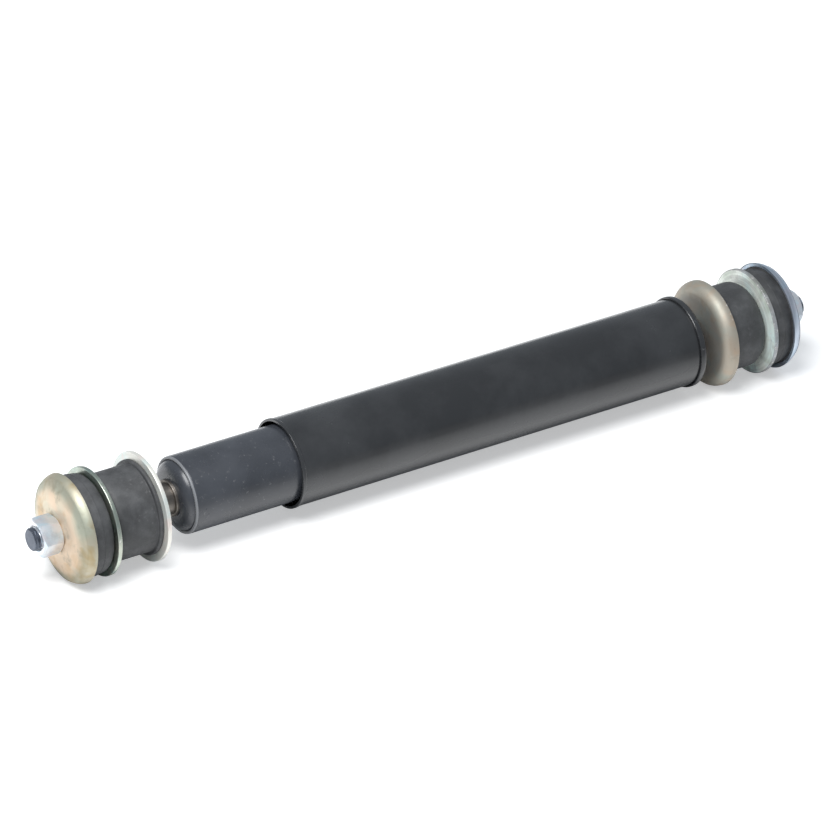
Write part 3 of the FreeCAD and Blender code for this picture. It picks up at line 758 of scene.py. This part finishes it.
class DAMPER_OT_pins(bpy.types.Operator):
    """Lower pin and piston rod, each with its threaded stud"""
    bl_idname = "damper.pins"
    bl_label = "Lower pin and rod"

    def execute(self, context):
        sizes = context.scene.damper_sizes
        cut_steel = bare_metal("Cut steel", tone_of("cut_steel"), rough=0.42)
        self.turn_pin(sizes, cut_steel)
        self.turn_rod(sizes, cut_steel)
        return {"FINISHED"}

    def turn_pin(self, sizes, cut_steel):
        """Lower pin: stud, shank, foot on the base cap, and the rivet through it."""
        tip, end, foot = span("lower_stem")
        seat = span("lower_inner_washer")[1]
        cap_face = span("base_cap")[0]
        cap_inside = cap_face + sizes.cap_sheet
        foot_face = cap_face - sizes.pin_foot
        pin = turn("lower_pin", [
            (tip, sizes.stud - sizes.stud_chamfer), *thread_rings(tip, 1), (seat, sizes.stud),
            (seat, sizes.pin_shank, sizes.edge), (foot_face, sizes.pin_shank), (foot_face, foot, sizes.edge),
            (cap_face, foot), (cap_face, sizes.pin_rivet), (cap_inside, sizes.pin_rivet),
            (cap_inside, sizes.pin_head), (end, sizes.pin_head, sizes.edge), (end, sizes.pin_centre)])
        thread(pin, tip, 1)
        dress(pin, bare_metal("Phosphated steel", tone_of("stem"), rough=0.34), "lower_stem")
        coat(pin, bright_zinc(), tip, seat - NUDGE)
        coat(pin, cut_steel, tip - NUDGE, span("lower_nut")[0])

    def turn_rod(self, sizes, cut_steel):
        """Piston rod: stud, painted neck that also stands for the shade under the dust cap, chromed length
        and the end that carries the piston.
        """
        rod_tip, top, radius = span("piston_rod")
        shoulder = span("check_stop")[1]
        seat = span("upper_inner_cup")[0]
        painted = span("dust_cap")[1] - sizes.dust_collar
        rod = turn("chromed_rod", [
            (top, sizes.stud - sizes.stud_chamfer), *thread_rings(top, -1), (seat, sizes.stud),
            (seat, radius, sizes.edge), (painted, radius), (shoulder, radius, sizes.edge),
            (shoulder, sizes.rod_spigot), (rod_tip, sizes.rod_spigot, sizes.edge),
            (rod_tip, sizes.pin_centre)])
        thread(rod, top, -1)
        dress(rod, bare_metal("Hard chrome", tone_of("chrome"), rough=0.08, relief=0.004), "piston_rod")
        # dark paint on the neck, partly painted shade of the gap between the dust cap and the upper inner cup
        coat(rod, body_paint(), painted, seat + NUDGE)
        coat(rod, bright_zinc(), seat + NUDGE, top)
        coat(rod, cut_steel, span("upper_nut")[1], top + NUDGE)


class DAMPER_OT_nuts(bpy.types.Operator):
    """Hexagon nut on each pin"""
    bl_idname = "damper.nuts"
    bl_label = "Nuts"

    def execute(self, context):
        sizes = context.scene.damper_sizes
        for node in ("lower_nut", "upper_nut"):
            low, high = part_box(node)
            bpy.ops.mesh.primitive_cylinder_add(
                vertices=6, radius=high.y, depth=high.x - low.x, location=((low.x + high.x) / 2, 0, 0),
                rotation=ALONG_X)
            nut = start_piece(node + "_hexagon")
            blank = self.turn_blank(sizes, node, low, high)
            pick_only(nut)
            apply_modifier(nut, "BOOLEAN", operation="INTERSECT", solver="EXACT", object=blank)
            apply_modifier(nut, "BEVEL", width=sizes.nut_soft, segments=2, limit_method="ANGLE",
                           angle_limit=sizes.nut_crease)
            bpy.data.objects.remove(blank, do_unlink=True)
            dress(nut, bright_zinc(), node, smooth=sizes.nut_crease)
        return {"FINISHED"}

    def turn_blank(self, sizes, node, low, high):
        """Turned ring that gives a nut its chamfers and its countersunk bore."""
        corner, flat = high.y, high.z
        bore = sizes.stud + FIT
        sink = bore + sizes.nut_sink
        face = flat * sizes.nut_face
        slope = (corner - face) * math.tan(sizes.nut_chamfer)
        return turn(node + "_blank", [
            (low.x, sink), (low.x, face), (low.x + slope, corner), (high.x - slope, corner), (high.x, face),
            (high.x, sink), (high.x - sizes.nut_sink, bore), (low.x + sizes.nut_sink, bore), (low.x, sink)])


class DAMPER_OT_washers(bpy.types.Operator):
    """Pressed cup washers and the flat washers between the bushes"""
    bl_idname = "damper.washers"
    bl_label = "Washers"

    def execute(self, context):
        sizes = context.scene.damper_sizes
        for node, lip_side, finish in (
                ("lower_outer_cup", 1, washer_zinc(
                    "zinc_gold", rough=0.46, metallic=0.70, middle="zinc_peach", stain=(0.84, 0.74, 0.56),
                    ring_depth=0.08)),
                # the upper inner cup's back gets a darker middle tone: painted shade from the dust cap in
                # front of it
                ("upper_inner_cup", 1, washer_zinc(
                    "zinc_bronze", rough=0.50, metallic=0.65, middle="zinc_smoke", stain=(1.06, 0.93, 0.84))),
                ("upper_outer_cup", -1, washer_zinc("zinc_blue", rough=0.35, metallic=0.85))):
            cup = turn(node + "_pressing", pressed(cup_path(node, lip_side), lip_side * sizes.cup_sheet))
            dress(cup, finish, node)
        sleeve = span("lower_sleeve")[2]
        for node, pin, finish in (
                ("lower_inner_washer", sizes.stud, washer_zinc("zinc_pale", rough=0.36, metallic=0.50)),
                ("lower_middle_washer", sleeve, washer_zinc("zinc_leaf", rough=0.28, metallic=1.0)),
                # the upper flat washer's rim gets a darker tone than its face: painted shade on the edge
                ("upper_middle_washer", sleeve, washer_zinc(
                    "zinc_edge", rough=0.30, metallic=0.30, middle="zinc_green",
                    reach=(0.0374, 0.0368), wander=0.0, stain=(0.58, 0.63, 0.57), ring_depth=0.4))):
            low, high, radius = span(node)
            hole = pin + CLEAR
            flat = turn(node + "_flat", [
                (low, hole), (low, radius, sizes.edge), (high, radius, sizes.edge), (high, hole),
                (low, hole)])
            dress(flat, finish, node)
        return {"FINISHED"}


class DAMPER_OT_bushes(bpy.types.Operator):
    """Long and short rubber bushes of both pins"""
    bl_idname = "damper.bushes"
    bl_label = "Rubber bushes"

    def execute(self, context):
        sizes = context.scene.damper_sizes
        finish = rubber("Bush rubber", tone_of("rubber"))
        hole = span("lower_sleeve")[2] + CLEAR
        seat_round = (sizes.cup_shoulder - sizes.cup_sheet) * sizes.seat_fill
        for node, shape, *details in (
                ("lower_inner_bush", self.long_bush, -1, sizes.lower_foot, sizes.edge),
                ("upper_inner_bush", self.long_bush, 1, sizes.upper_foot, seat_round),
                ("lower_outer_bush", self.short_bush, -1),
                ("upper_outer_bush", self.short_bush, 1)):
            outline = shape(sizes, node, *details)
            start, end = outline[0][0], outline[-1][0]
            dress(turn(node + "_rubber", [(start, hole), *outline, (end, hole), (start, hole)]), finish, node)
        return {"FINISHED"}

    def long_bush(self, sizes, node, outwards, foot_length, seat_round):
        """Outside of a long bush from its foot to its free end."""
        low, high, foot = span(node)
        root, free = (low, high) if outwards > 0 else (high, low)
        step = root + outwards * foot_length
        neck = sizes.bush_neck
        return [(root, foot, seat_round), (step, foot, sizes.foot_round), (step, neck, sizes.neck_round),
                (free, neck, sizes.bush_end)]

    def short_bush(self, sizes, node, outwards):
        """Outside of a short bush: its barrel, and the end that fills its cup."""
        low, high, widest = span(node)
        near, far = (low, high) if outwards > 0 else (high, low)
        cup = cup_path(node.replace("bush", "cup"), -outwards)
        fill_back, fill_rim = beside(cup, -outwards * (sizes.cup_sheet + FIT))[1:3]
        lip = cup[-1][0] - outwards * FIT
        narrow = widest - sizes.parting - sizes.bush_swell
        barrel = [(near + share * (lip - near), narrow + sizes.bush_swell * math.sin(share * math.pi))
                  for share in BARREL]
        barrel.insert(len(BARREL) // 2, ((near + lip) / 2, widest))
        return [(near, narrow, sizes.bush_round), *barrel, (lip, narrow), (lip, fill_rim[1]),
                (fill_rim[0] + outwards * FIT, *fill_rim[1:]), (far, *fill_back[1:])]


class DAMPER_OT_inner_parts(bpy.types.Operator):
    """Springs of the valves, and the finishes of the pieces inside the tubes and bushes"""
    bl_idname = "damper.inner_parts"
    bl_label = "Inner pieces"

    def execute(self, context):
        tones = {m["slot"]: tuple(m["base_color"][:3]) for m in frame["record"]["materials"]}
        finishes = {"bright_zinc": bright_zinc()}
        for slot, name, rough, grain_size in (
                ("plain_steel", "Oiled steel", 0.26, 0.0008),
                ("spring_steel", "Spring steel", 0.22, 0.0005),
                ("sintered_iron", "Sintered iron", 0.46, 0.0004),
                ("bush_bronze", "Bush bronze", 0.24, 0.0008)):
            finishes[slot] = bare_metal(name, tones[slot], rough, grain_size)
        for slot, name in (("band_plastic", "Band plastic"), ("seal_rubber", "Seal rubber")):
            finishes[slot] = rubber(name, tones[slot])
        for joint in frame["record"]["behaviour"]["joints"]:
            for spring in joint.get("deforming_nodes", []):
                self.wind_spring(context.scene.damper_sizes, spring["node"], joint, finishes["spring_steel"])
        for name, node in frame["nodes"].items():
            if not node.hide_render:
                node.data.materials.clear()
                node.data.materials.append(finishes[slot_of(name)])
        return {"FINISHED"}

    def wind_spring(self, sizes, node, joint, finish):
        """Square-wire coil in the place of a spring, which on the real valve its plate presses together as it
        lifts.
        """
        wire = getattr(sizes, node + "_wire")
        turns = getattr(sizes, node + "_turns")
        low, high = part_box(node)
        height = high.x - low.x
        bpy.ops.mesh.primitive_plane_add(
            size=wire, location=(low.x + wire / 2, 0, wire / 2 - high.z), rotation=(math.pi / 2, 0, 0))
        coil = start_piece(node + "_coil")
        bpy.ops.object.mode_set(mode="EDIT")
        bpy.ops.mesh.select_all(action="SELECT")
        bpy.ops.mesh.delete(type="ONLY_FACE")
        bpy.ops.object.mode_set(mode="OBJECT")
        steps = round(turns * sizes.around)
        apply_modifier(coil, "SCREW", axis="X", angle=turns * 2 * math.pi, screw_offset=height - wire,
                       steps=steps, render_steps=steps)
        bpy.ops.object.mode_set(mode="EDIT")
        bpy.ops.mesh.select_mode(type="EDGE")
        bpy.ops.mesh.select_all(action="SELECT")
        bpy.ops.mesh.fill_holes(sides=4)
        face_outwards()
        dress(coil, finish, node, smooth=math.radians(40))
        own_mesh(coil)


class DAMPER_OT_stage(bpy.types.Operator):
    """Floor, soft light and the camera"""
    bl_idname = "damper.stage"
    bl_label = "Stage"

    def execute(self, context):
        stage = context.scene.damper_stage
        self.lay_floor(stage)
        self.light(stage)
        self.set_camera(stage)
        context.scene.view_settings.view_transform = "Standard"
        return {"FINISHED"}

    def lay_floor(self, stage):
        """Pale floor that the pieces mirror bright just in front of them and darker further off."""
        bpy.ops.mesh.primitive_plane_add(
            size=stage.floor_size, location=(cad_box[0].x, 0, cad_box[0].z - FIT))
        floor = start_piece("floor")
        material, tree, shader, place = new_material("Pale floor")
        mottle = surface_grain(tree, place, patch_size=0.4, grain_size=0.004)[0]
        tone = tuple(stage.floor)
        pale = blend_colours(tree, mottle, tone, shaded(tone, 0.985))
        rays = tree.nodes.new("ShaderNodeLightPath").outputs
        across = add_node(tree, "ShaderNodeSeparateXYZ", {0: place}).outputs["Y"]
        front = ramp(tree, across, -stage.glow_reach, -stage.glow_start)
        beyond = maths(tree, "MULTIPLY", rays["Is Glossy Ray"], maths(tree, "SUBTRACT", 1.0, front))
        toned = blend_colours(tree, beyond, pale, shaded(tone, stage.far_floor))
        under = cad_box[1].z * stage.shade_share
        clear = ramp(tree, maths(tree, "ABSOLUTE", across), under, under + stage.shade_fade)
        mirrored = maths(tree, "MULTIPLY", rays["Is Glossy Ray"], maths(tree, "MULTIPLY", front, clear))
        seen = maths(tree, "MAXIMUM", rays["Is Camera Ray"], rays["Is Transmission Ray"])
        seen = maths(tree, "MAXIMUM", seen, maths(tree, "MULTIPLY", mirrored, stage.mirror_lift))
        lift = maths(tree, "MULTIPLY", seen, stage.floor_lift)
        fill(tree, shader, {
            "Base Color": toned, "Roughness": 0.9, "Specular IOR Level": 0.1,
            "Emission Color": (1, 1, 1, 1), "Emission Strength": lift})
        floor.data.materials.append(material)

    def light(self, stage):
        """Soft light from all round and one large lamp above."""
        world = bpy.data.worlds.new("Soft room")
        world.use_nodes = True
        sky = world.node_tree.nodes["Background"]
        fill(world.node_tree, sky, {"Color": (*stage.sky, 1), "Strength": stage.sky_strength})
        bpy.context.scene.world = world
        bpy.ops.object.light_add(type="AREA", location=Vector(stage.aim) + Vector(stage.key_place))
        key = bpy.context.object
        key.name = "key_lamp"
        key.data.shape = "DISK"
        key.data.size = stage.key_size
        key.data.energy = stage.key_power
        key.rotation_mode = "QUATERNION"
        key.rotation_quaternion = (Vector(stage.aim) - key.location).to_track_quat("-Z", "Y")

    def set_camera(self, stage):
        """Camera at the picture's viewing angle."""
        level = math.cos(stage.elevation)
        back = Vector((
            math.sin(stage.azimuth) * level, -math.cos(stage.azimuth) * level, math.sin(stage.elevation)))
        bpy.ops.object.camera_add(location=Vector(stage.aim) + back * stage.distance)
        camera = bpy.context.object
        camera.rotation_mode = "QUATERNION"
        camera.rotation_quaternion = (-back).to_track_quat("-Z", "Y")
        camera.data.sensor_width = SENSOR
        camera.data.lens = SENSOR * stage.focal_pixels / PHOTO_SIZE
        bpy.context.scene.camera = camera


STEPS = (DAMPER_OT_body, DAMPER_OT_cover, DAMPER_OT_pins, DAMPER_OT_nuts, DAMPER_OT_washers, DAMPER_OT_bushes,
         DAMPER_OT_inner_parts, DAMPER_OT_stage)


class DAMPER_PT_panel(bpy.types.Panel):
    """Lists the steps that model and finish the shock absorber"""
    bl_idname = "DAMPER_PT_panel"
    bl_label = "Shock absorber"
    bl_space_type = "VIEW_3D"
    bl_region_type = "UI"
    bl_category = "Damper"

    def draw(self, context):
        for step in STEPS:
            self.layout.operator(step.bl_idname)


PROPERTIES = {"damper_sizes": DamperSizes, "damper_finishes": DamperFinishes, "damper_stage": DamperStage}


def register():
    for cls in (*PROPERTIES.values(), *STEPS, DAMPER_PT_panel):
        bpy.utils.register_class(cls)
    for name, group in PROPERTIES.items():
        setattr(bpy.types.Scene, name, PointerProperty(type=group))


def unregister():
    for name in PROPERTIES:
        delattr(bpy.types.Scene, name)
    for cls in reversed((*PROPERTIES.values(), *STEPS, DAMPER_PT_panel)):
        bpy.utils.unregister_class(cls)


def main():
    register()
    for step in STEPS:
        family, name = step.bl_idname.split(".")
        getattr(getattr(bpy.ops, family), name)()
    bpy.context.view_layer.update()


if __name__ == "__main__":
    main()
